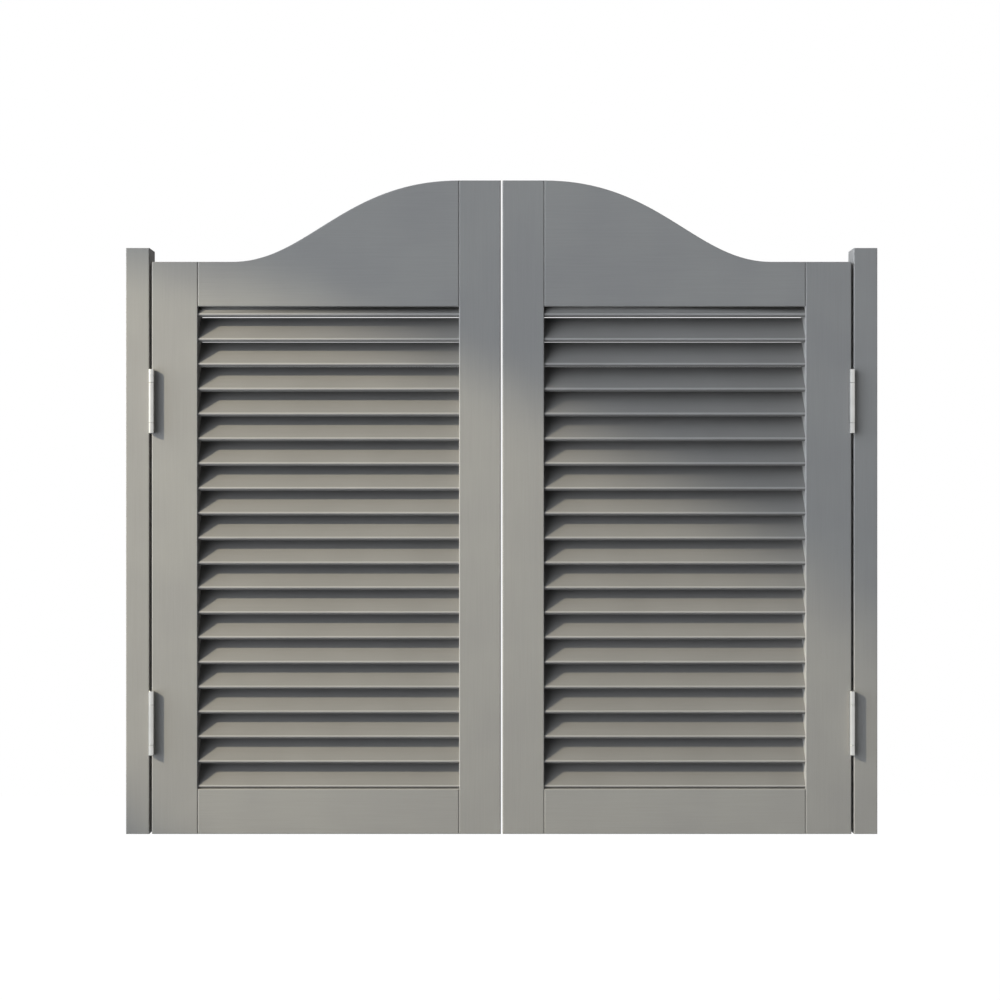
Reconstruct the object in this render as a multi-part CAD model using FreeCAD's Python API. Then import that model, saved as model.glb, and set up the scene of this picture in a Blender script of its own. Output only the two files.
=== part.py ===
import FreeCAD, Part
import math
import os

os.makedirs("parts", exist_ok=True)

# A pair of cafe swinging doors: two ogee-topped louvred leaves between two
# slim posts, on double-action spring hinges. Sizes are in millimetres.
# X runs along the doorway, Y through it away from the front, Z up. The origin
# is on the floor line of the leaves, midway between them and in mid-thickness.

# Posts
POST_WIDTH = 28.0
POST_DEPTH = 28.0
POST_HEIGHT = 702.0
POST_EASE = 0.6

# A pair of fixing holes through each post, about the post's middle
FIXING_HOLE_RADIUS = 2.25
FIXING_SPACING = 620.0

# Leaf frame
LEAF_WIDTH = 418.0
LEAF_THICKNESS = 28.0
HINGE_STILE_WIDTH = 55.0
MEETING_STILE_WIDTH = 50.0
BOTTOM_RAIL_HEIGHT = 54.0
LOUVRE_OPENING_HEIGHT = 578.0
TOP_RAIL_SHOULDER = 53.5
MEETING_GAP = 2.0
EDGE_EASE = 1.1

# Ogee top: a level shoulder, then a sweep that starts and ends level
OGEE_SHOULDER_FLAT = 41.0
OGEE_RISE = 97.5
OGEE_COVE_REACH = 90.0
OGEE_CROWN_REACH = 138.0

# Mortise and tenon joints
TENON_THICKNESS = 9.0
TENON_LENGTH = 30.0
TENON_SHOULDER = 8.0
MORTISE_END_GAP = 1.0

# Fixed louvre slats, let into slots routed in the stiles
SLAT_WIDTH = 36.6
SLAT_THICKNESS = 6.0
SLAT_NOSE_BEVEL = 1.8
SLAT_TILT = 53.0
SLAT_PITCH = 29.76
SLAT_FOOT_GAP = 0.5
SLAT_LEAST_RIP = 8.0
SLAT_LET_IN = 8.0
SLOT_END_GAP = 0.5
SLOT_NOSE_GAP = 0.2

# Double-action spring hinges: three sheets side by side fill the gap
# between post and leaf, with a barrel in front and one behind
HINGE_HEIGHT = 76.2
LOWER_HINGE_FOOT = 95.6
UPPER_HINGE_FOOT = 480.0
SHEET_THICKNESS = 0.9
SHEET_SLIP = 0.15
SHEET_EDGE_MARGIN = 2.0
TAB_MARGIN = 1.0
BARREL_RADIUS = 3.5
BARREL_WALL = 0.9
BARREL_FACE_GAP = 0.5
FOOT_KNUCKLE_HEIGHT = 12.0
HEAD_KNUCKLE_HEIGHT = 9.0
COLLAR_HEIGHT = 7.0
KNUCKLE_GAP = 0.3
COLLAR_SIDES = 12
KEY_CORNER_RADIUS = 1.4
KEY_SIDES = 4
KEY_END_COVER = 1.5
CHAMBER_SIDES = 12
SPRING_SIDES = 6
SPRING_RUNNING_GAP = 0.05
SPRING_END_GAP = 0.3

# Countersunk screws that hold the hinge sheets
SCREW_COUNT = 3
SCREW_SIDES = 6
SCREW_SHANK_RADIUS = 1.4
SCREW_HEAD_RADIUS = 2.8
SCREW_HEAD_DEPTH = 1.6
SCREW_LENGTH = 16.0
SCREW_END_MARGIN = 12.0
SCREW_BELOW_SHEET = 0.05

# Sizes that follow from the ones above
HINGE_GAP = 3 * SHEET_THICKNESS + 2 * SHEET_SLIP
POST_INNER_X = MEETING_GAP / 2 + LEAF_WIDTH + HINGE_GAP
LEAF_HINGE_X = POST_INNER_X - HINGE_GAP
HALF_LEAF = LEAF_THICKNESS / 2
LOUVRE_TOP_Z = BOTTOM_RAIL_HEIGHT + LOUVRE_OPENING_HEIGHT
SHOULDER_Z = LOUVRE_TOP_Z + TOP_RAIL_SHOULDER
CROWN_Z = SHOULDER_Z + OGEE_RISE
RAIL_LENGTH = LEAF_WIDTH - HINGE_STILE_WIDTH - MEETING_STILE_WIDTH
BARREL_Y = HALF_LEAF + BARREL_FACE_GAP + BARREL_RADIUS
SLAT_SPAN = LOUVRE_OPENING_HEIGHT - SLAT_FOOT_GAP - SLAT_LEAST_RIP
SLAT_COUNT = 1 + math.floor(SLAT_SPAN / SLAT_PITCH)
HINGE_FEET = {"lower": LOWER_HINGE_FOOT, "upper": UPPER_HINGE_FOOT}

# Levels of a barrel's pieces above the foot of its hinge
LONG_BARREL_FOOT = FOOT_KNUCKLE_HEIGHT + KNUCKLE_GAP
HEAD_KNUCKLE_FOOT = HINGE_HEIGHT - COLLAR_HEIGHT - HEAD_KNUCKLE_HEIGHT
LONG_BARREL_HEAD = HEAD_KNUCKLE_FOOT - KNUCKLE_GAP
COLLAR_FOOT = HINGE_HEIGHT - COLLAR_HEIGHT

X_AXIS = FreeCAD.Vector(1, 0, 0)
Y_AXIS = FreeCAD.Vector(0, 1, 0)
Z_AXIS = FreeCAD.Vector(0, 0, 1)
ORIGIN = FreeCAD.Vector(0, 0, 0)


def save(shape, name):
    shape.exportStep("parts/" + name + ".step")


def block(x_range, y_range, z_range):
    """A rectangular block between pairs of coordinates."""
    corner = FreeCAD.Vector(x_range[0], y_range[0], z_range[0])
    length = x_range[1] - x_range[0]
    depth = y_range[1] - y_range[0]
    height = z_range[1] - z_range[0]
    return Part.makeBox(length, depth, height, corner)


def rod(radius, x, y, foot, head):
    """An upright round rod."""
    return Part.makeCylinder(radius, head - foot, FreeCAD.Vector(x, y, foot), Z_AXIS)


def joined(shapes):
    """Shapes fused into one solid, with no seams left on shared faces."""
    return shapes[0].multiFuse(shapes[1:]).removeSplitter()


def mirrored(shape):
    """The right-hand twin of a left-hand piece."""
    return shape.mirror(ORIGIN, X_AXIS)


def turned(shape):
    """The piece after half a turn about the upright centre line."""
    twin = shape.copy()
    twin.rotate(ORIGIN, Z_AXIS, 180)
    return twin


def polygon(sides, radius, level):
    """A level regular polygon about the Z axis, its corners on the radius."""
    corners = []
    for index in range(sides + 1):
        angle = 2 * math.pi * index / sides
        corners.append(FreeCAD.Vector(radius * math.cos(angle), radius * math.sin(angle), level))
    return Part.makePolygon(corners)


def prism(sides, radius, x, y, foot, head):
    """An upright regular prism, with its corners on the given radius."""
    body = Part.Face(polygon(sides, radius, foot)).extrude(Z_AXIS * (head - foot))
    body.translate(FreeCAD.Vector(x, y, 0))
    return body


def ease_faces(shape, ease, half_depth):
    """Bevel every edge that borders the front and back faces."""
    borders = []
    for edge in shape.Edges:
        box = edge.BoundBox
        flat = box.YLength < ease / 2
        outer = abs(abs(box.Center.y) - half_depth) < ease / 2
        if flat and outer:
            borders.append(edge)
    return shape.makeChamfer(ease, borders)


# ---------------------------------------------------------------- screws


def screw(x, y, z, towards_post):
    """A countersunk screw with its head at x, driven along X into post or
    leaf. It is a six-sided stand-in: a tapered head on a plain shank."""
    neck = polygon(SCREW_SIDES, SCREW_SHANK_RADIUS, -SCREW_HEAD_DEPTH)
    rim = polygon(SCREW_SIDES, SCREW_HEAD_RADIUS, 0)
    head = Part.makeLoft([neck, rim], True, True)
    shank = prism(SCREW_SIDES, SCREW_SHANK_RADIUS, 0, 0, -SCREW_LENGTH, -SCREW_HEAD_DEPTH)
    body = joined([head, shank])
    body.rotate(ORIGIN, Y_AXIS, 90 if towards_post else -90)
    body.translate(FreeCAD.Vector(x, y, z))
    return body


def screw_places(hinge_foot):
    """Heights of the screws in a hinge sheet."""
    first = hinge_foot + SCREW_END_MARGIN
    last = hinge_foot + HINGE_HEIGHT - SCREW_END_MARGIN
    step = (last - first) / (SCREW_COUNT - 1)
    return [first + index * step for index in range(SCREW_COUNT)]


def sheet_screws(hinge_foot, is_jamb):
    """The screws of one left-hand sheet; is_jamb picks post or leaf."""
    if is_jamb:
        head_x = -POST_INNER_X + SHEET_THICKNESS - SCREW_BELOW_SHEET
    else:
        head_x = -LEAF_HINGE_X - SHEET_THICKNESS + SCREW_BELOW_SHEET
    return [screw(head_x, 0, z, is_jamb) for z in screw_places(hinge_foot)]


def screw_group(is_jamb):
    """The screws of both hinges on one side, as separate solids."""
    screws = []
    for foot in HINGE_FEET.values():
        screws += sheet_screws(foot, is_jamb)
    return Part.makeCompound(screws)


# ---------------------------------------------------------------- posts


def fixing_hole(z):
    """A clearance hole through the left post for a fixing screw."""
    start = FreeCAD.Vector(-POST_INNER_X - POST_WIDTH, 0, z)
    return Part.makeCylinder(FIXING_HOLE_RADIUS, POST_WIDTH, start, X_AXIS)


def fixing_heights():
    return [POST_HEIGHT / 2 + sign * FIXING_SPACING / 2 for sign in (-1, 1)]


def left_post():
    x_range = (-POST_INNER_X - POST_WIDTH, -POST_INNER_X)
    y_range = (-POST_DEPTH / 2, POST_DEPTH / 2)
    post = block(x_range, y_range, (0, POST_HEIGHT))
    post = ease_faces(post, POST_EASE, POST_DEPTH / 2)
    return post.cut([fixing_hole(z) for z in fixing_heights()])


# ---------------------------------------------------------------- louvres


def slat_profile(z_foot, nose_gap):
    """Section of a slat whose lowest point is at z_foot.

    Two parallel faces, sloping down to the front, with a bevelled nose at
    each edge. nose_gap lengthens the section past each nose."""
    tilt = math.radians(SLAT_TILT)
    half_width = SLAT_WIDTH / 2
    half = SLAT_THICKNESS / 2
    along = FreeCAD.Vector(0, math.cos(tilt), math.sin(tilt))
    across = FreeCAD.Vector(0, -math.sin(tilt), math.cos(tilt))
    edge = half - SLAT_NOSE_BEVEL
    drop = max(
        half_width * along.z + edge * across.z,
        (half_width - SLAT_NOSE_BEVEL) * along.z + half * across.z,
    )
    centre = FreeCAD.Vector(0, 0, z_foot + drop)
    nose = half_width + nose_gap
    flank = nose - SLAT_NOSE_BEVEL
    outline = [
        (flank, half), (nose, edge), (nose, -edge), (flank, -half),
        (-flank, -half), (-nose, -edge), (-nose, edge), (-flank, half),
    ]
    corners = [centre + along * run + across * rise for run, rise in outline]
    return Part.Face(Part.makePolygon(corners + corners[:1]))


def slat_length_range():
    """Where the slats begin and end, between slots in the left leaf."""
    first = -LEAF_HINGE_X + HINGE_STILE_WIDTH - SLAT_LET_IN
    last = -MEETING_GAP / 2 - MEETING_STILE_WIDTH + SLAT_LET_IN
    return first, last


def slat_bar(index, x_range, nose_gap=0.0):
    """One slat, or the tool that routs its slot, ripped level at the rail."""
    foot = BOTTOM_RAIL_HEIGHT + SLAT_FOOT_GAP + index * SLAT_PITCH
    face = slat_profile(foot, nose_gap)
    face.translate(FreeCAD.Vector(x_range[0], 0, 0))
    bar = face.extrude(FreeCAD.Vector(x_range[1] - x_range[0], 0, 0))
    if bar.BoundBox.ZMax > LOUVRE_TOP_Z:
        waste_y = (-LEAF_THICKNESS, LEAF_THICKNESS)
        waste = block(x_range, waste_y, (LOUVRE_TOP_Z, LOUVRE_TOP_Z + SLAT_WIDTH))
        bar = bar.cut(waste)
    return bar


def slot_tools(x_range):
    return [slat_bar(index, x_range, SLOT_NOSE_GAP) for index in range(SLAT_COUNT)]


# ---------------------------------------------------------------- leaf frame


def tenon(x_range, z_foot, z_head):
    """A tenon between its shoulders, or the mortise cut for one."""
    half = TENON_THICKNESS / 2
    z_range = (z_foot + TENON_SHOULDER, z_head - TENON_SHOULDER)
    return block(x_range, (-half, half), z_range)


def rail_ends():
    """Where the rails' shoulders meet the stiles of the left leaf."""
    hinge_end = -LEAF_HINGE_X + HINGE_STILE_WIDTH
    return hinge_end, hinge_end + RAIL_LENGTH


def bottom_rail():
    first, last = rail_ends()
    y_range = (-HALF_LEAF, HALF_LEAF)
    rail = block((first, last), y_range, (0, BOTTOM_RAIL_HEIGHT))
    rail = ease_faces(rail, EDGE_EASE, HALF_LEAF)
    tongue_x = (first - TENON_LENGTH, last + TENON_LENGTH)
    return joined([rail, tenon(tongue_x, 0, BOTTOM_RAIL_HEIGHT)])


def top_rail_profile():
    """Front outline of the top rail: level below, ogee above."""
    first, last = rail_ends()
    sweep = first + OGEE_SHOULDER_FLAT
    foot_hinge = FreeCAD.Vector(first, -HALF_LEAF, LOUVRE_TOP_Z)
    foot_meeting = FreeCAD.Vector(last, -HALF_LEAF, LOUVRE_TOP_Z)
    crown = FreeCAD.Vector(last, -HALF_LEAF, CROWN_Z)
    cove = FreeCAD.Vector(sweep, -HALF_LEAF, SHOULDER_Z)
    shoulder = FreeCAD.Vector(first, -HALF_LEAF, SHOULDER_Z)
    ogee = Part.BezierCurve()
    ogee.setPoles([
        crown,
        crown - X_AXIS * OGEE_CROWN_REACH,
        cove + X_AXIS * OGEE_COVE_REACH,
        cove,
    ])
    edges = [
        Part.LineSegment(foot_hinge, foot_meeting).toShape(),
        Part.LineSegment(foot_meeting, crown).toShape(),
        ogee.toShape(),
        Part.LineSegment(cove, shoulder).toShape(),
        Part.LineSegment(shoulder, foot_hinge).toShape(),
    ]
    return Part.Face(Part.Wire(edges))


def top_rail():
    first, last = rail_ends()
    middle = (first + last) / 2
    rail = top_rail_profile().extrude(FreeCAD.Vector(0, LEAF_THICKNESS, 0))
    rail = ease_faces(rail, EDGE_EASE, HALF_LEAF)
    hinge_tenon = tenon((first - TENON_LENGTH, first), LOUVRE_TOP_Z, SHOULDER_Z)
    meeting_tenon = tenon((last, last + TENON_LENGTH), LOUVRE_TOP_Z, CROWN_Z)
    return joined([rail, hinge_tenon, meeting_tenon])


def stile(x_range, height, open_side):
    """A stile with its mortises and slat slots; open_side is the louvres'
    side, +1 or -1 along X."""
    body = block(x_range, (-HALF_LEAF, HALF_LEAF), (0, height))
    body = ease_faces(body, EDGE_EASE, HALF_LEAF)
    face = x_range[1] if open_side > 0 else x_range[0]
    slot_depth = SLAT_LET_IN + SLOT_END_GAP
    mortise_depth = TENON_LENGTH + MORTISE_END_GAP
    slot_x = sorted((face, face - open_side * slot_depth))
    mortise_x = sorted((face, face - open_side * mortise_depth))
    tools = slot_tools(slot_x)
    tools.append(tenon(mortise_x, 0, BOTTOM_RAIL_HEIGHT))
    tools.append(tenon(mortise_x, LOUVRE_TOP_Z, height))
    return body.cut(tools)


def hinge_stile():
    x_range = (-LEAF_HINGE_X, -LEAF_HINGE_X + HINGE_STILE_WIDTH)
    return stile(x_range, SHOULDER_Z, 1)


def meeting_stile():
    edge = -MEETING_GAP / 2
    return stile((edge - MEETING_STILE_WIDTH, edge), CROWN_Z, -1)


def louvre_slats():
    """Every full slat below the top one, as separate solids."""
    bars = [slat_bar(index, slat_length_range()) for index in range(SLAT_COUNT - 1)]
    return Part.makeCompound(bars)


def top_slat():
    return slat_bar(SLAT_COUNT - 1, slat_length_range())


# ---------------------------------------------------------------- hinges


def barrel_x():
    """The barrels' X on the left side, tangent to the jamb sheet's back."""
    return -POST_INNER_X + BARREL_RADIUS


def sheet(x_back, foot):
    """A flat hinge sheet in the gap, its back face at x_back."""
    reach = HALF_LEAF - SHEET_EDGE_MARGIN
    x_range = (x_back, x_back + SHEET_THICKNESS)
    return block(x_range, (-reach, reach), (foot, foot + HINGE_HEIGHT))


def tab(x_back, side, foot, head, reach_in):
    """The part of a sheet that runs on to a barrel on that side in Y."""
    start = HALF_LEAF - SHEET_EDGE_MARGIN - TAB_MARGIN
    y_range = sorted((side * start, side * (BARREL_Y - reach_in)))
    return block((x_back, x_back + SHEET_THICKNESS), y_range, (foot, head))


def long_barrel(side, foot):
    """Outside of the long barrel that holds a spring."""
    x = barrel_x()
    return rod(BARREL_RADIUS, x, side * BARREL_Y, foot + LONG_BARREL_FOOT, foot + LONG_BARREL_HEAD)


def spring_chamber(side, foot):
    """Many-sided bore of a long barrel, open at both ends."""
    low = foot + LONG_BARREL_FOOT
    high = foot + LONG_BARREL_HEAD
    radius = BARREL_RADIUS - BARREL_WALL
    return prism(CHAMBER_SIDES, radius, barrel_x(), side * BARREL_Y, low, high)


def flange(foot, is_jamb):
    """A screwed sheet with its long barrel. The jamb flange's barrel is
    behind and the door flange's is in front."""
    if is_jamb:
        x_back = -POST_INNER_X
        side = 1
        reach_in = 0.0
    else:
        x_back = -LEAF_HINGE_X - SHEET_THICKNESS
        side = -1
        reach_in = BARREL_RADIUS - BARREL_WALL
    low = foot + LONG_BARREL_FOOT
    high = foot + LONG_BARREL_HEAD
    body = joined([
        sheet(x_back, foot),
        tab(x_back, side, low, high, reach_in),
        long_barrel(side, foot),
    ])
    return body.cut([spring_chamber(side, foot)] + sheet_screws(foot, is_jamb))


def knuckle_levels(foot):
    """Foot and head of the two short knuckles, below and above a barrel."""
    low = (foot, foot + FOOT_KNUCKLE_HEIGHT)
    high = (foot + HEAD_KNUCKLE_FOOT, foot + HEAD_KNUCKLE_FOOT + HEAD_KNUCKLE_HEIGHT)
    return low, high


def key(side, foot):
    """The square shank that keys the short knuckles and the spring."""
    low = foot + KEY_END_COVER
    high = foot + COLLAR_FOOT
    return prism(KEY_SIDES, KEY_CORNER_RADIUS, barrel_x(), side * BARREL_Y, low, high)


def tension_pin(side, foot):
    """The pin through a barrel, headed by the collar that sets the spring."""
    low = foot + COLLAR_FOOT
    high = foot + HINGE_HEIGHT
    collar = prism(COLLAR_SIDES, BARREL_RADIUS, barrel_x(), side * BARREL_Y, low, high)
    return joined([collar, key(side, foot)])


def centre_plate(foot):
    """The sheet between the flanges, with short knuckles front and back."""
    x_back = -POST_INNER_X + SHEET_THICKNESS + SHEET_SLIP
    solids = [sheet(x_back, foot)]
    reach_in = BARREL_RADIUS - BARREL_WALL
    for side in (-1, 1):
        for low, high in knuckle_levels(foot):
            solids.append(tab(x_back, side, low, high, reach_in))
            solids.append(rod(BARREL_RADIUS, barrel_x(), side * BARREL_Y, low, high))
    return joined(solids).cut([key(side, foot) for side in (-1, 1)])


def spring(side, foot):
    """A close-wound torsion spring on its pin, as a plain sleeve with few
    sides, whose corners turn inside the flats of its chamber."""
    low = foot + LONG_BARREL_FOOT + SPRING_END_GAP
    high = foot + LONG_BARREL_HEAD - SPRING_END_GAP
    chamber_flat = (BARREL_RADIUS - BARREL_WALL) * math.cos(math.pi / CHAMBER_SIDES)
    radius = chamber_flat - SPRING_RUNNING_GAP
    sleeve = prism(SPRING_SIDES, radius, barrel_x(), side * BARREL_Y, low, high)
    return sleeve.cut(key(side, foot))


# ---------------------------------------------------------------- output


def save_posts():
    post = left_post()
    save(post, "left_post")
    save(mirrored(post), "right_post")
    screws = screw_group(True)
    save(screws, "left_post_screws")
    save(turned(screws), "right_post_screws")


def save_leaves():
    pieces = {
        "hinge_stile": hinge_stile(),
        "meeting_stile": meeting_stile(),
        "top_rail": top_rail(),
        "bottom_rail": bottom_rail(),
        "louvre_slats": louvre_slats(),
        "top_slat": top_slat(),
        "leaf_screws": screw_group(False),
    }
    for name, piece in pieces.items():
        save(piece, "left_" + name)
        save(mirrored(piece), "right_" + name)


def save_hinges():
    """Hinges on the right are the left ones after half a turn."""
    for level, foot in HINGE_FEET.items():
        pieces = {
            "jamb_flange": flange(foot, True),
            "door_flange": flange(foot, False),
            "centre_plate": centre_plate(foot),
        }
        for row, side in (("jamb", 1), ("door", -1)):
            pieces[row + "_tension_pin"] = tension_pin(side, foot)
            pieces[row + "_spring"] = spring(side, foot)
        for name, piece in pieces.items():
            save(piece, "left_" + level + "_" + name)
            save(turned(piece), "right_" + level + "_" + name)


save_posts()
save_leaves()
save_hinges()
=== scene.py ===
import bpy
import math
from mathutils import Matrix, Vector


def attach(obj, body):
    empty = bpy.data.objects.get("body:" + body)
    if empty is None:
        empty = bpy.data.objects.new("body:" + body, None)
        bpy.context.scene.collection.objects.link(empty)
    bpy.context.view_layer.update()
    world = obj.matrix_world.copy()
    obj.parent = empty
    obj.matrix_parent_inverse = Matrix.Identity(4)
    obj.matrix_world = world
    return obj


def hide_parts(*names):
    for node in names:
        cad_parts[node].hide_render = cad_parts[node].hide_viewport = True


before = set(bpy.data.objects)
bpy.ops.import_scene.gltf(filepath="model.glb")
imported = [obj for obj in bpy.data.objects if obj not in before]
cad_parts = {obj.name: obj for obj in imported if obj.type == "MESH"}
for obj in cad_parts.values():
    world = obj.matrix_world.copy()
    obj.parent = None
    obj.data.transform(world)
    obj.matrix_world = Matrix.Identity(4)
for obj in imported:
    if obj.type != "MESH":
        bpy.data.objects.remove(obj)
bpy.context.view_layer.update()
bpy.ops.object.select_all(action="DESELECT")

MM = 0.001

# Real sizes of the doors, in metres: the same ones as the frame's parts have
POST_WIDTH = 28 * MM
POST_DEPTH = 28 * MM
POST_HEIGHT = 702 * MM
POST_ARRIS_RADIUS = 0.8 * MM
FIXING_HOLE_RADIUS = 2.25 * MM
FIXING_SPACING = 620 * MM
LEAF_WIDTH = 418 * MM
LEAF_THICKNESS = 28 * MM
HINGE_STILE_WIDTH = 55 * MM
MEETING_STILE_WIDTH = 50 * MM
BOTTOM_RAIL_HEIGHT = 54 * MM
LOUVRE_TOP = 632 * MM
SHOULDER_HEIGHT = 685.5 * MM
CROWN_HEIGHT = 783 * MM
MEETING_GAP = 2 * MM
ARRIS_RADIUS = 1.2 * MM
HINGE_GAP = 3 * MM

# The ogee top: a level flat, then a sweep that starts and ends level
OGEE_FLAT = 41 * MM
COVE_REACH = 90 * MM
CROWN_REACH = 138 * MM

# Louvre slats
SLAT_WIDTH = 36.6 * MM
SLAT_THICKNESS = 6 * MM
SLAT_TILT = math.radians(53)
SLAT_NOSE_RADIUS = 1.8 * MM
SLAT_PITCH = 29.76 * MM
SLAT_FOOT = 54.5 * MM
SLAT_COUNT = 20
SLAT_LET_IN = 8 * MM

# Spring hinges
HINGE_HEIGHT = 76.2 * MM
HINGE_FEET = {"lower": 95.6 * MM, "upper": 480 * MM}
SHEET_THICKNESS = 0.9 * MM
SHEET_SLIP = 0.15 * MM
SHEET_HALF_DEPTH = 12 * MM
SHEET_CORNER_RADIUS = 1.5 * MM
SHEET_EDGE_BREAK = 0.12 * MM
TAB_ROOT = 1 * MM
BARREL_RADIUS = 3.5 * MM
BARREL_WALL = 0.9 * MM
BARREL_RIM = 0.2 * MM
FOOT_KNUCKLE = 12 * MM
HEAD_KNUCKLE = 9 * MM
KNUCKLE_GAP = 0.3 * MM
COLLAR = 7 * MM
COLLAR_GAP = 0.05 * MM
TOMMY_HOLE_RADIUS = 0.9 * MM

# Hinge screws, and the countersunk holes that they sit in
SCREWS_PER_SHEET = 3
SCREW_INSET = 12 * MM
SCREW_HEAD_RADIUS = 2.8 * MM
SCREW_HEAD_HEIGHT = 1.6 * MM
SCREW_HEAD_SINK = 0.05 * MM
SCREW_SHANK_RADIUS = 1.4 * MM
SCREW_SHANK = 12 * MM
SCREW_POINT = 2.4 * MM
SCREW_POINT_SHARE = 0.1
RECESS_LENGTH = 2.6 * MM
RECESS_WIDTH = 0.55 * MM
COUNTERSINK_MOUTH = 3.5 * MM
COUNTERSINK_THROAT = 1.2 * MM
COUNTERSINK_HEIGHT = 2.3 * MM
COUNTERSINK_SINK = 0.6 * MM

# Sizes that follow from those above
HALF_LEAF = LEAF_THICKNESS / 2
LEAF_HINGE_EDGE = MEETING_GAP / 2 + LEAF_WIDTH
POST_INNER_FACE = LEAF_HINGE_EDGE + HINGE_GAP
RAIL_START = LEAF_HINGE_EDGE - HINGE_STILE_WIDTH
RAIL_END = MEETING_GAP / 2 + MEETING_STILE_WIDTH
BARREL_X = POST_INNER_FACE - BARREL_RADIUS
BARREL_Y = 18 * MM

# How finely round shapes are made
ARRIS_STEPS = 4
CORNER_STEPS = 5
RIM_STEPS = 2
BARREL_SIDES = 48
HOLE_SIDES = 32
TOMMY_HOLE_SIDES = 24
OGEE_STEPS = 40
OGEE_ARRIS_STEPS = 3

# Points nearer than this are in the same place
NEAR = 0.001 * MM
# A normal's least share along an axis for a face that faces that way
FACING = 0.99
# A normal's least share along an axis for a face that slopes that way
SLOPING = 0.1
# Edges flatter than these many degrees are shaded as round
ROUND_BELOW = 10
SCREW_ROUND_BELOW = 30

# The room's daylight by direction. Each pair says where along an axis a level
# changes, and from what to what: most of it comes from the left, a little from
# overhead, and nearly all of it from in front of the doors.
WINDOW_LIGHT = (-0.95, -0.25), (5.4, 0.1)
CEILING_LIGHT = (0.5, 1.0), (0.0, 0.13)
FRONT_SHARE = (-0.15, 0.35), (1.0, 0.05)
DAYLIGHT = "#E7F0FD"
FLOOR_SIZE = 3.2
FLOOR_LEVEL = -0.30

# The spotlight: what it points at, the way back to it, and its beam
KEY_TARGET = Vector((-0.111, 0, 0.200))
KEY_WAY = Vector((-1.94, -1.0, 1.23)).normalized()
KEY_DISTANCE = 4.0
KEY_WATTS = 690
KEY_COLOUR = "#FFF6DB"
KEY_RADIUS = 0.02
KEY_BEAM = math.radians(11.5)
KEY_BLEND = 0.5

CAMERA_PLACE = (-0.0020, -1.677, 0.4001)
LENS_MM = 50
SENSOR_MM = 36


# ------------------------------------------------------------ material tools


def srgb(code):
    """An sRGB hex colour as linear red, green, blue and alpha."""
    parts = [int(code[i:i + 2], 16) / 255 for i in (1, 3, 5)]
    return [c / 12.92 if c <= 0.04045 else ((c + 0.055) / 1.055) ** 2.4 for c in parts] + [1.0]


def add_node(tree, kind, inputs=None, **settings):
    """A node with its settings, and its inputs set to values or linked to sockets."""
    node = tree.nodes.new(kind)
    for name, value in settings.items():
        setattr(node, name, value)
    for name, value in (inputs or {}).items():
        if isinstance(value, bpy.types.NodeSocket):
            tree.links.new(value, node.inputs[name])
        else:
            node.inputs[name].default_value = value
    return node


def new_material(name):
    material = bpy.data.materials.new(name)
    material.use_nodes = True
    material.node_tree.nodes.clear()
    return material, material.node_tree


def object_place(tree):
    """Each point's real place on the object, in metres."""
    return add_node(tree, "ShaderNodeTexCoord").outputs["Object"]


def noise(tree, place, scale, settings):
    """The level of a noise pattern, from 0 to 1."""
    inputs = {"Vector": place, "Scale": scale, **settings}
    return add_node(tree, "ShaderNodeTexNoise", inputs).outputs["Fac"]


def streaks(tree, place, grain, across, along, settings):
    """A noise pattern of marks with one real size across the grain's axis and another along it."""
    stretch = [1 / across] * 3
    stretch[grain] = 1 / along
    mapping = add_node(tree, "ShaderNodeMapping", {"Vector": place, "Scale": stretch})
    return noise(tree, mapping.outputs["Vector"], 1.0, settings)


def colour_ramp(tree, level, dark, light, dark_at, light_at):
    """A colour that goes from dark to light as the level goes up."""
    node = add_node(tree, "ShaderNodeValToRGB", {"Fac": level})
    first, last = node.color_ramp.elements
    first.position, first.color = dark_at, srgb(dark)
    last.position, last.color = light_at, srgb(light)
    return node.outputs["Color"]


def spread(tree, level, low, high):
    """A level of 0 to 1 as a value from low to high."""
    node = add_node(tree, "ShaderNodeMapRange", {"Value": level, "To Min": low, "To Max": high})
    return node.outputs["Result"]


def bump(tree, height, strength, distance, under=None):
    """Small relief, laid over the relief under it if there is one."""
    inputs = {"Height": height, "Strength": strength, "Distance": distance}
    if under is not None:
        inputs["Normal"] = under
    return add_node(tree, "ShaderNodeBump", inputs).outputs["Normal"]


def maths(tree, operation, first, second):
    return add_node(tree, "ShaderNodeMath", {0: first, 1: second}, operation=operation).outputs["Value"]


def soft_step(tree, value, across, levels):
    """A smooth change from the first level to the second as the value goes across."""
    node = add_node(tree, "ShaderNodeMapRange", {
        "Value": value, "From Min": across[0], "From Max": across[1],
        "To Min": levels[0], "To Max": levels[1],
    }, interpolation_type="SMOOTHSTEP")
    return node.outputs["Result"]


def seen_by_eye(tree):
    """1 for a look at the surroundings, straight or in metal or glass, and 0 for their light."""
    rays = add_node(tree, "ShaderNodeLightPath").outputs
    seen = maths(tree, "MAXIMUM", rays["Is Camera Ray"], rays["Is Glossy Ray"])
    return maths(tree, "MAXIMUM", seen, rays["Is Transmission Ray"])


# ------------------------------------------------------------ materials


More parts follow.
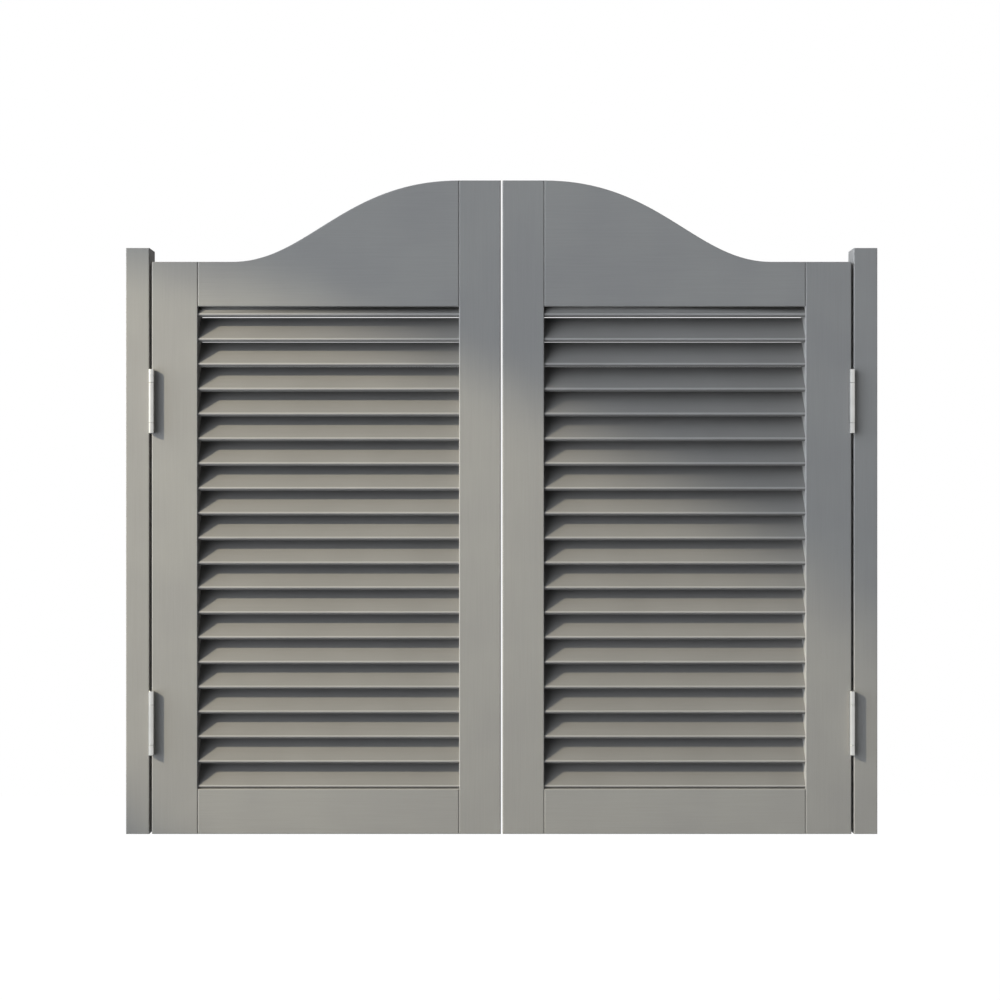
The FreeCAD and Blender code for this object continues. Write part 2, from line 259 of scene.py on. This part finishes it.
def painted_wood(name, grain, dark, light):
    """Low-sheen alkyd paint on planed softwood, brushed along the grain, which
    runs along the given axis. It gives a warm grey with faint brush marks that
    follow the board and slow patches where the coat is a little thinner."""
    material, tree = new_material(name)
    place = object_place(tree)
    # brush marks are about 1.2 mm wide and run 60 mm or more along the board
    brush = streaks(tree, place, grain, 1.2 * MM, 60 * MM, {"Detail": 3.0, "Roughness": 0.55})
    # the wood's rings show through the coat as ridges about 7 mm apart
    rings = streaks(tree, place, grain, 7 * MM, 240 * MM, {"Detail": 2.0, "Distortion": 0.4})
    # patches of thinner and thicker coat, about 90 mm across
    patches = noise(tree, place, 1 / (90 * MM), {"Detail": 2.0})
    # orange peel of the dried paint, 0.9 mm
    peel = noise(tree, place, 1 / (0.9 * MM), {"Detail": 1.0})
    tone = colour_ramp(tree, patches, dark, light, 0.35, 0.65)
    marks = colour_ramp(tree, brush, "#FAFAFA", "#FFFFFF", 0.3, 0.7)
    # a colour mix takes its two colours at inputs 6 and 7, and gives the result at output 2
    mix = add_node(tree, "ShaderNodeMix", {"Factor": 1.0, 6: tone, 7: marks},
                   data_type="RGBA", blend_type="MULTIPLY")
    brushed = bump(tree, brush, 0.12, 0.05 * MM)
    ringed = bump(tree, rings, 0.08, 0.15 * MM, brushed)
    skin = bump(tree, peel, 0.12, 0.04 * MM, ringed)
    paint = add_node(tree, "ShaderNodeBsdfPrincipled", {
        "Base Color": mix.outputs[2], "Roughness": spread(tree, brush, 0.46, 0.58),
        "Normal": skin, "IOR": 1.48, "Specular IOR Level": 0.08,
    })
    add_node(tree, "ShaderNodeOutputMaterial", {"Surface": paint.outputs["BSDF"]})
    return material


def satin_steel(name, light, dark, roughness):
    """Cold-rolled steel, plated or oiled, and linished upright. It gives a
    bright metal with fine upright lines and slightly duller patches."""
    material, tree = new_material(name)
    place = object_place(tree)
    # linishing lines 0.35 mm wide; real ones are finer than a render shows
    upright = 2
    lines = streaks(tree, place, upright, 0.35 * MM, 25 * MM, {"Detail": 2.0})
    # duller patches, about 14 mm across
    haze = noise(tree, place, 1 / (14 * MM), {"Detail": 3.0})
    metal = add_node(tree, "ShaderNodeBsdfPrincipled", {
        "Base Color": colour_ramp(tree, haze, dark, light, 0.3, 0.7), "Metallic": 1.0,
        "Roughness": spread(tree, lines, roughness - 0.05, roughness + 0.08),
        "Normal": bump(tree, lines, 0.2, 0.02 * MM),
    })
    add_node(tree, "ShaderNodeOutputMaterial", {"Surface": metal.outputs["BSDF"]})
    return material


def pale_surface(name, shade, white_share):
    """Matt pale paint. Seen directly it is nearly the white of the room behind
    it, and it keeps some of the doors' shadow."""
    material, tree = new_material(name)
    share = maths(tree, "MULTIPLY", seen_by_eye(tree), white_share)
    matt = add_node(tree, "ShaderNodeBsdfDiffuse", {"Color": srgb(shade)})
    white = add_node(tree, "ShaderNodeEmission", {"Color": srgb("#FFFFFF"), "Strength": 1.05})
    mix = add_node(tree, "ShaderNodeMixShader", {
        0: share, 1: matt.outputs["BSDF"], 2: white.outputs["Emission"],
    })
    add_node(tree, "ShaderNodeOutputMaterial", {"Surface": mix.outputs["Shader"]})
    return material


# warm grey paint, brushed upright on the posts and stiles and level on the rails
UPRIGHT_PAINT = painted_wood("satin_paint_upright", 2, "#989590", "#9C9993")
LEVEL_PAINT = painted_wood("satin_paint_level", 0, "#989590", "#9C9993")
# the slats' paint is written darker than the stiles' as painted shade, for the shade deep
# between them, and the tops of their noses get a paler paint as a painted highlight
LOUVRE_PAINTED_SHADE = painted_wood("louvre_paint_painted_shade", 0, "#83807B", "#87847F")
NOSE_PAINTED_HIGHLIGHT = painted_wood("louvre_nose_painted_highlight", 0, "#A6A29C", "#AAA6A0")
# satin nickel plate on the hinges, oil on their springs, zinc on the screws
HINGE_STEEL = satin_steel("satin_nickel_hinge_steel", "#CACAC7", "#C0C0BD", 0.36)
SPRING_STEEL = satin_steel("oiled_spring_steel", "#6E6E70", "#5A5A5C", 0.38)
SCREW_STEEL = satin_steel("zinc_plated_screw_steel", "#BFC2C4", "#A9ACAE", 0.34)


# ------------------------------------------------------------ shaping tools


def only(piece):
    """Selects one object alone and makes it active."""
    bpy.ops.object.select_all(action="DESELECT")
    piece.select_set(True)
    bpy.context.view_layer.objects.active = piece


def settle(piece):
    """Works an object's place, turn and size into its mesh, so that it sits at the origin."""
    only(piece)
    bpy.ops.object.transform_apply(location=True, rotation=True, scale=True)


def named(piece, name):
    """The same object, with a new name for it and for its mesh."""
    piece.name = name
    piece.data.name = name
    return piece


def start_piece(name):
    """Takes on the primitive that was just added."""
    piece = named(bpy.context.object, name)
    settle(piece)
    return piece


def edit_edges(piece, chosen):
    """Opens the piece for editing with only the chosen edges selected."""
    only(piece)
    bpy.ops.object.mode_set(mode="EDIT")
    bpy.ops.mesh.select_mode(type="EDGE")
    bpy.ops.mesh.select_all(action="DESELECT")
    bpy.ops.object.mode_set(mode="OBJECT")
    points = piece.data.vertices
    for edge in piece.data.edges:
        a, b = (points[i].co for i in edge.vertices)
        edge.select = chosen(a, b)
    bpy.ops.object.mode_set(mode="EDIT")


def edit_faces(piece, chosen):
    """Opens the piece for editing with only the faces selected whose normals are chosen."""
    only(piece)
    bpy.ops.object.mode_set(mode="EDIT")
    bpy.ops.mesh.select_mode(type="FACE")
    bpy.ops.mesh.select_all(action="DESELECT")
    bpy.ops.object.mode_set(mode="OBJECT")
    for face in piece.data.polygons:
        face.select = chosen(face.normal)
    bpy.ops.object.mode_set(mode="EDIT")


def round_off(piece, radius, steps, chosen):
    """Rounds the chosen edges."""
    edit_edges(piece, chosen)
    bpy.ops.mesh.bevel(offset=radius, offset_type="OFFSET", segments=steps, profile=0.5, affect="EDGES")
    bpy.ops.object.mode_set(mode="OBJECT")


def finish_shading(piece, round_below=ROUND_BELOW):
    """Smooths round faces only, so that wide faces stay flat right up to their
    rounded arrises."""
    only(piece)
    bpy.ops.object.shade_smooth_by_angle(angle=math.radians(round_below))


def face_outward(piece, merge=False):
    """Turns every face outward, after merging points that are in the same place if asked."""
    only(piece)
    bpy.ops.object.mode_set(mode="EDIT")
    bpy.ops.mesh.select_all(action="SELECT")
    if merge:
        bpy.ops.mesh.remove_doubles(threshold=NEAR)
    bpy.ops.mesh.normals_make_consistent(inside=False)
    bpy.ops.object.mode_set(mode="OBJECT")


def cut_away(piece, tool):
    """Cuts the tool's shape out of the piece, and throws the tool away."""
    only(piece)
    cut = piece.modifiers.new("cut", "BOOLEAN")
    cut.operation = "DIFFERENCE"
    cut.solver = "EXACT"
    cut.object = tool
    bpy.ops.object.modifier_apply(modifier=cut.name)
    bpy.data.objects.remove(tool, do_unlink=True)


def joined(pieces, name):
    """Several pieces as one object."""
    bpy.ops.object.select_all(action="DESELECT")
    for piece in pieces:
        piece.select_set(True)
    bpy.context.view_layer.objects.active = pieces[0]
    bpy.ops.object.join()
    return named(bpy.context.object, name)


def twin_of(piece, name):
    """A copy with its own mesh."""
    only(piece)
    bpy.ops.object.duplicate(linked=False)
    return named(bpy.context.object, name)


def moved_copy(piece, name, move):
    twin = twin_of(piece, name)
    twin.location = move
    settle(twin)
    return twin


def mirrored(piece, name):
    """The right-hand twin of a left-hand piece."""
    twin = twin_of(piece, name)
    twin.scale.x = -1
    settle(twin)
    face_outward(twin)
    return twin


def turned(piece, name):
    """A copy after half a turn about the upright centre line."""
    twin = twin_of(piece, name)
    twin.rotation_euler.z = math.pi
    settle(twin)
    return twin


def fit(piece, body, node):
    """Says which body a finished piece rides on, and which part of the frame it stands for."""
    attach(piece, body)
    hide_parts(node)


# ------------------------------------------------------------ timber pieces


def block(name, low, high):
    centre = [(a + b) / 2 for a, b in zip(low, high)]
    size = [b - a for a, b in zip(low, high)]
    bpy.ops.mesh.primitive_cube_add(size=1, location=centre, scale=size)
    return start_piece(name)


def board(name, low, high, ease, paint):
    """A planed board with the arrises of its two wide faces rounded."""
    piece = block(name, low, high)
    front, back = low[1], high[1]

    def on_a_face(a, b):
        return any(abs(a.y - y) < NEAR and abs(b.y - y) < NEAR for y in (front, back))

    round_off(piece, ease, ARRIS_STEPS, on_a_face)
    piece.data.materials.append(paint)
    return piece


def drill(x_outer, x_inner, z):
    """Tool for a fixing screw's hole from one side of a post to the other."""
    bpy.ops.mesh.primitive_cylinder_add(
        vertices=HOLE_SIDES, radius=FIXING_HOLE_RADIUS, depth=abs(x_inner - x_outer) + 2 * MM,
        location=((x_outer + x_inner) / 2, 0, z), rotation=(0, math.pi / 2, 0))
    return start_piece("drill")


def left_post():
    outer, inner = -POST_INNER_FACE - POST_WIDTH, -POST_INNER_FACE
    low = (outer, -POST_DEPTH / 2, 0)
    high = (inner, POST_DEPTH / 2, POST_HEIGHT)
    post = board("left_post_board", low, high, POST_ARRIS_RADIUS, UPRIGHT_PAINT)
    for sign in (-1, 1):
        cut_away(post, drill(outer, inner, POST_HEIGHT / 2 + sign * FIXING_SPACING / 2))
    finish_shading(post)
    return post


def leaf_board(name, outer, inner, height, paint):
    """A stile or rail of the left leaf, between two distances from the doorway's middle."""
    low = (-outer, -HALF_LEAF, 0)
    high = (-inner, HALF_LEAF, height)
    piece = board(name, low, high, ARRIS_RADIUS, paint)
    finish_shading(piece)
    return piece


def left_top_rail():
    """The ogee board: a flat curve, filled and given its thickness."""
    bpy.ops.curve.primitive_bezier_curve_add(location=(0, 0, 0))
    rail = bpy.context.object
    outline = rail.data
    outline.dimensions = "2D"
    outline.fill_mode = "BOTH"
    outline.resolution_u = OGEE_STEPS
    outline.extrude = HALF_LEAF - ARRIS_RADIUS
    outline.bevel_depth = ARRIS_RADIUS
    outline.bevel_resolution = OGEE_ARRIS_STEPS
    outline.offset = -ARRIS_RADIUS
    corners = [
        (-RAIL_END, CROWN_HEIGHT), (-RAIL_START + OGEE_FLAT, SHOULDER_HEIGHT),
        (-RAIL_START, SHOULDER_HEIGHT), (-RAIL_START, LOUVRE_TOP), (-RAIL_END, LOUVRE_TOP),
    ]
    spline = outline.splines[0]
    spline.bezier_points.add(len(corners) - len(spline.bezier_points))
    spline.use_cyclic_u = True
    for point, (x, z) in zip(spline.bezier_points, corners):
        point.handle_left_type = point.handle_right_type = "VECTOR"
        point.co = (x, z, 0)
    crown, cove = spline.bezier_points[0], spline.bezier_points[1]
    crown.handle_right_type = cove.handle_left_type = "FREE"
    crown.handle_right = crown.co + Vector((-CROWN_REACH, 0, 0))
    cove.handle_left = cove.co + Vector((COVE_REACH, 0, 0))
    only(rail)
    bpy.ops.object.convert(target="MESH")
    rail = named(bpy.context.object, "left_top_rail")
    face_outward(rail, merge=True)
    rail.rotation_euler.x = math.pi / 2
    settle(rail)
    rail.data.materials.append(LEVEL_PAINT)
    finish_shading(rail)
    return rail


def left_slats():
    """The louvre slats: one is made with rounded noses and tilted, then copied
    up the leaf. The top one is ripped level where it meets the rail."""
    half_width, half = SLAT_WIDTH / 2, SLAT_THICKNESS / 2
    low = (-RAIL_START - SLAT_LET_IN, -half_width, -half)
    high = (-RAIL_END + SLAT_LET_IN, half_width, half)
    slat = block("slat", low, high)

    def on_a_nose(a, b):
        level = abs(a.y - b.y) < NEAR and abs(a.z - b.z) < NEAR
        return level and abs(abs(a.y) - half_width) < NEAR

    round_off(slat, SLAT_NOSE_RADIUS, ARRIS_STEPS, on_a_nose)
    # painted shade: the slats' paint is darker than the stiles' to stand for the shade between them
    slat.data.materials.append(LOUVRE_PAINTED_SHADE)
    slat.data.materials.append(NOSE_PAINTED_HIGHLIGHT)
    for face in slat.data.polygons:
        # the second paint, a painted highlight, goes on the tops of both noses
        face.material_index = int(abs(face.normal.y) > SLOPING and face.normal.z > SLOPING)
    finish_shading(slat)
    drop = half_width * math.sin(SLAT_TILT) + (half - SLAT_NOSE_RADIUS) * math.cos(SLAT_TILT)
    slat.rotation_euler.x = SLAT_TILT
    slat.location.z = SLAT_FOOT + drop
    settle(slat)
    copies = [moved_copy(slat, "slat", (0, 0, index * SLAT_PITCH)) for index in range(1, SLAT_COUNT)]
    top = named(copies.pop(), "left_top_slat")
    only(top)
    bpy.ops.object.mode_set(mode="EDIT")
    bpy.ops.mesh.select_all(action="SELECT")
    bpy.ops.mesh.bisect(plane_co=(0, 0, LOUVRE_TOP), plane_no=(0, 0, 1), use_fill=True, clear_outer=True)
    bpy.ops.object.mode_set(mode="OBJECT")
    return joined([slat] + copies, "left_louvre_slats"), top


# ------------------------------------------------------------ hinge pieces


def tube(name, side, foot, head, bore=0.0):
    """A turned barrel with its rims broken, bored right through if it has a bore."""
    bpy.ops.mesh.primitive_cylinder_add(
        vertices=BARREL_SIDES, radius=BARREL_RADIUS, depth=head - foot,
        location=(-BARREL_X, side * BARREL_Y, (foot + head) / 2))
    piece = start_piece(name)

    def on_a_rim(a, b):
        return abs(a.z - b.z) < NEAR

    round_off(piece, BARREL_RIM, RIM_STEPS, on_a_rim)
    if bore:
        edit_faces(piece, lambda normal: abs(normal.z) > FACING)
        bpy.ops.mesh.inset(thickness=BARREL_RADIUS - BARREL_RIM - bore, depth=0)
        bpy.ops.mesh.bridge_edge_loops()
        bpy.ops.object.mode_set(mode="OBJECT")
    return piece


def sheet_plate(name, x_back, foot):
    """A flat hinge sheet with rounded corners and broken edges."""
    low = (x_back, -SHEET_HALF_DEPTH, foot)
    high = (x_back + SHEET_THICKNESS, SHEET_HALF_DEPTH, foot + HINGE_HEIGHT)
    plate = block(name, low, high)
    round_off(plate, SHEET_CORNER_RADIUS, CORNER_STEPS, lambda a, b: abs(a.x - b.x) > SHEET_THICKNESS / 2)
    round_off(plate, SHEET_EDGE_BREAK, 1, lambda a, b: abs(a.x - b.x) < NEAR)
    return plate


def sheet_tab(x_back, side, foot, head):
    """The strip of a sheet that runs on into a barrel's wall, and stops short of its bore."""
    offset = abs(x_back + SHEET_THICKNESS / 2 + BARREL_X)
    wall_middle = BARREL_RADIUS - BARREL_WALL / 2
    reach = BARREL_Y - math.sqrt(max(wall_middle ** 2 - offset ** 2, 0))
    ys = sorted((side * (SHEET_HALF_DEPTH - TAB_ROOT), side * reach))
    tab = block("tab", (x_back, ys[0], foot), (x_back + SHEET_THICKNESS, ys[1], head))

    def across_the_strip(a, b):
        return abs(a.x - b.x) < NEAR and abs(a.z - b.z) < NEAR

    round_off(tab, SHEET_EDGE_BREAK, 1, across_the_strip)
    return tab


def screw_heights(foot):
    step = (HINGE_HEIGHT - 2 * SCREW_INSET) / (SCREWS_PER_SHEET - 1)
    return [foot + SCREW_INSET + index * step for index in range(SCREWS_PER_SHEET)]


def countersink(x, z, way):
    """Tool for a screw's countersunk hole in a sheet."""
    bpy.ops.mesh.primitive_cone_add(
        vertices=HOLE_SIDES, radius1=COUNTERSINK_MOUTH, radius2=COUNTERSINK_THROAT, depth=COUNTERSINK_HEIGHT,
        location=(x + way * COUNTERSINK_SINK, 0, z), rotation=(0, way * math.pi / 2, 0))
    return start_piece("countersink")


def screwing_way(is_jamb):
    """Which way along x a left-hand screw is driven: into the post or into the leaf."""
    return -1 if is_jamb else 1


def flange(name, foot, is_jamb):
    """A screwed sheet with its long barrel: behind on the jamb's, in front on the door's."""
    x_back = -POST_INNER_FACE if is_jamb else -LEAF_HINGE_EDGE - SHEET_THICKNESS
    face_x = x_back + SHEET_THICKNESS if is_jamb else x_back
    side = 1 if is_jamb else -1
    low = foot + FOOT_KNUCKLE + KNUCKLE_GAP
    high = foot + HINGE_HEIGHT - COLLAR - HEAD_KNUCKLE - KNUCKLE_GAP
    plate = sheet_plate(name, x_back, foot)
    for z in screw_heights(foot):
        cut_away(plate, countersink(face_x, z, screwing_way(is_jamb)))
    barrel = tube("barrel", side, low, high, BARREL_RADIUS - BARREL_WALL)
    return joined([plate, sheet_tab(x_back, side, low, high), barrel], name)


def centre_plate(name, foot):
    """The sheet between the flanges, with short knuckles front and back."""
    x_back = -POST_INNER_FACE + SHEET_THICKNESS + SHEET_SLIP
    pieces = [sheet_plate(name, x_back, foot)]
    head_foot = foot + HINGE_HEIGHT - COLLAR - HEAD_KNUCKLE
    for side in (-1, 1):
        for low, high in ((foot, foot + FOOT_KNUCKLE), (head_foot, head_foot + HEAD_KNUCKLE)):
            pieces.append(sheet_tab(x_back, side, low, high))
            pieces.append(tube("knuckle", side, low, high))
    return joined(pieces, name)


def tension_pin(name, side, foot):
    """The collar that sets the spring, with a cross hole for the tommy bar."""
    high = foot + HINGE_HEIGHT
    collar = tube(name, side, high - COLLAR + COLLAR_GAP, high)
    bpy.ops.mesh.primitive_cylinder_add(
        vertices=TOMMY_HOLE_SIDES, radius=TOMMY_HOLE_RADIUS, depth=4 * BARREL_RADIUS,
        location=(-BARREL_X, side * BARREL_Y, high - COLLAR / 2), rotation=(0, math.pi / 2, 0))
    cut_away(collar, start_piece("tommy_bar"))
    return collar


def left_screw(x, z, way):
    """A countersunk wood screw with a cross recess."""
    bpy.ops.mesh.primitive_cone_add(
        vertices=HOLE_SIDES, radius1=SCREW_HEAD_RADIUS, radius2=SCREW_SHANK_RADIUS,
        depth=SCREW_HEAD_HEIGHT, location=(0, 0, 0))
    screw = start_piece("screw")
    edit_faces(screw, lambda normal: normal.z > FACING)
    bpy.ops.mesh.extrude_region_move(TRANSFORM_OT_translate={"value": (0, 0, SCREW_SHANK)})
    bpy.ops.mesh.extrude_region_move(TRANSFORM_OT_translate={"value": (0, 0, SCREW_POINT)})
    bpy.ops.transform.resize(value=(SCREW_POINT_SHARE, SCREW_POINT_SHARE, 1))
    bpy.ops.object.mode_set(mode="OBJECT")
    for turn in (0, math.pi / 2):
        bpy.ops.mesh.primitive_cube_add(
            size=1, location=(0, 0, -SCREW_HEAD_HEIGHT / 2), rotation=(0, 0, turn),
            scale=(RECESS_LENGTH, RECESS_WIDTH, SCREW_HEAD_HEIGHT))
        cut_away(screw, start_piece("driver"))
    finish_shading(screw, SCREW_ROUND_BELOW)
    screw.rotation_euler.y = way * math.pi / 2
    screw.location = (x + way * SCREW_HEAD_HEIGHT / 2, 0, z)
    settle(screw)
    return screw


def screw_set(name, is_jamb):
    """All the screws of the left hinges that go into the post, or into the leaf."""
    if is_jamb:
        head_x = -POST_INNER_FACE + SHEET_THICKNESS - SCREW_HEAD_SINK
    else:
        head_x = -LEAF_HINGE_EDGE - SHEET_THICKNESS + SCREW_HEAD_SINK
    way = screwing_way(is_jamb)
    screws = [left_screw(head_x, z, way) for foot in HINGE_FEET.values() for z in screw_heights(foot)]
    return joined(screws, name)


# ------------------------------------------------------------ the doors


def build_timber():
    """The posts and leaves, each made on the left and mirrored to the right."""
    post = left_post()
    fit(mirrored(post, "right_post_board"), "posts", "right_post")
    fit(post, "posts", "left_post")
    slats, top_slat = left_slats()
    hinge_stile = leaf_board("left_hinge_stile", LEAF_HINGE_EDGE, RAIL_START, SHOULDER_HEIGHT, UPRIGHT_PAINT)
    meeting_stile = leaf_board("left_meeting_stile", RAIL_END, MEETING_GAP / 2, CROWN_HEIGHT, UPRIGHT_PAINT)
    top_rail = left_top_rail()
    bottom_rail = leaf_board("left_bottom_rail", RAIL_START, RAIL_END, BOTTOM_RAIL_HEIGHT, LEVEL_PAINT)
    pieces = {
        "hinge_stile": hinge_stile, "meeting_stile": meeting_stile, "top_rail": top_rail,
        "bottom_rail": bottom_rail, "louvre_slats": slats, "top_slat": top_slat,
    }
    for name, piece in pieces.items():
        fit(mirrored(piece, "right_" + name + "_board"), "right_leaf", "right_" + name)
        fit(piece, "left_leaf", "left_" + name)
        piece.name = "left_" + name + "_board"


def build_hinges():
    """The hinges and their screws, each made on the left and turned end for end to the right."""
    screw_sets = (
        ("post_screws", True, "posts", "posts"),
        ("leaf_screws", False, "left_leaf", "right_leaf"),
    )
    for name, is_jamb, left_body, right_body in screw_sets:
        screws = screw_set("left_" + name + "_made", is_jamb)
        screws.data.materials.append(SCREW_STEEL)
        fit(turned(screws, "right_" + name + "_made"), right_body, "right_" + name)
        fit(screws, left_body, "left_" + name)
    for level, foot in HINGE_FEET.items():
        pieces = {
            "jamb_flange": (flange("jamb_flange", foot, True), "posts", "posts"),
            "door_flange": (flange("door_flange", foot, False), "left_leaf", "right_leaf"),
            "centre_plate": (centre_plate("centre_plate", foot), "left_plates", "right_plates"),
            "jamb_tension_pin": (tension_pin("jamb_pin", 1, foot), "left_plates", "right_plates"),
            "door_tension_pin": (tension_pin("door_pin", -1, foot), "left_plates", "right_plates"),
        }
        for name, (piece, left_body, right_body) in pieces.items():
            node = level + "_" + name
            finish_shading(piece)
            piece.data.materials.append(HINGE_STEEL)
            twin = turned(piece, "right_" + node + "_made")
            named(piece, "left_" + node + "_made")
            fit(twin, right_body, "right_" + node)
            fit(piece, left_body, "left_" + node)


def coat_springs():
    """The springs keep the frame's own shapes, because they are sealed in their barrels."""
    for name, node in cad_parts.items():
        if name.endswith("spring"):
            node.data.materials.clear()
            node.data.materials.append(SPRING_STEEL)


# ------------------------------------------------------------ room, light and camera


def build_room():
    bpy.ops.object.select_all(action="DESELECT")
    bpy.ops.mesh.primitive_plane_add(size=FLOOR_SIZE, location=(0, 0, FLOOR_LEVEL))
    floor = start_piece("pale_floor")
    floor.data.materials.append(pale_surface("pale_floor_paint", "#B4B4B4", 0.96))
    world = bpy.data.worlds.new("studio")
    bpy.context.scene.world = world
    world.use_nodes = True
    tree = world.node_tree
    tree.nodes.clear()
    direction = add_node(tree, "ShaderNodeTexCoord").outputs["Generated"]
    way = add_node(tree, "ShaderNodeSeparateXYZ", {"Vector": direction}).outputs
    window = soft_step(tree, way["X"], *WINDOW_LIGHT)
    ceiling = soft_step(tree, way["Z"], *CEILING_LIGHT)
    front = soft_step(tree, way["Y"], *FRONT_SHARE)
    level = maths(tree, "MULTIPLY", maths(tree, "ADD", window, ceiling), front)
    room = add_node(tree, "ShaderNodeBackground", {"Color": srgb(DAYLIGHT), "Strength": level})
    white = add_node(tree, "ShaderNodeBackground", {"Color": srgb("#FFFFFF"), "Strength": 1.0})
    mix = add_node(tree, "ShaderNodeMixShader", {
        0: seen_by_eye(tree), 1: room.outputs["Background"], 2: white.outputs["Background"],
    })
    add_node(tree, "ShaderNodeOutputWorld", {"Surface": mix.outputs["Shader"]})


def build_key_light():
    """A warm spotlight from the upper left, whose pool fades out towards the
    top of the pair and its right post. The pale room gives the rest."""
    bpy.ops.object.light_add(type="SPOT", location=KEY_TARGET + KEY_DISTANCE * KEY_WAY)
    key = bpy.context.object
    key.name = "key"
    key.data.energy = KEY_WATTS
    key.data.color = srgb(KEY_COLOUR)[:3]
    key.data.shadow_soft_size = KEY_RADIUS
    key.data.spot_size = KEY_BEAM
    key.data.spot_blend = KEY_BLEND
    key.rotation_euler = (-KEY_WAY).to_track_quat("-Z", "Y").to_euler()


def build_camera():
    """A camera straight in front, at about half the doors' height."""
    camera = bpy.data.cameras.new("camera")
    camera.lens = LENS_MM
    camera.sensor_width = SENSOR_MM
    holder = bpy.data.objects.new("camera", camera)
    holder.location = CAMERA_PLACE
    holder.rotation_euler = (math.pi / 2, 0, 0)
    bpy.context.scene.collection.objects.link(holder)
    bpy.context.scene.camera = holder


build_timber()
build_hinges()
coat_springs()
build_room()
build_key_light()
build_camera()
bpy.context.scene.view_settings.view_transform = "Standard"
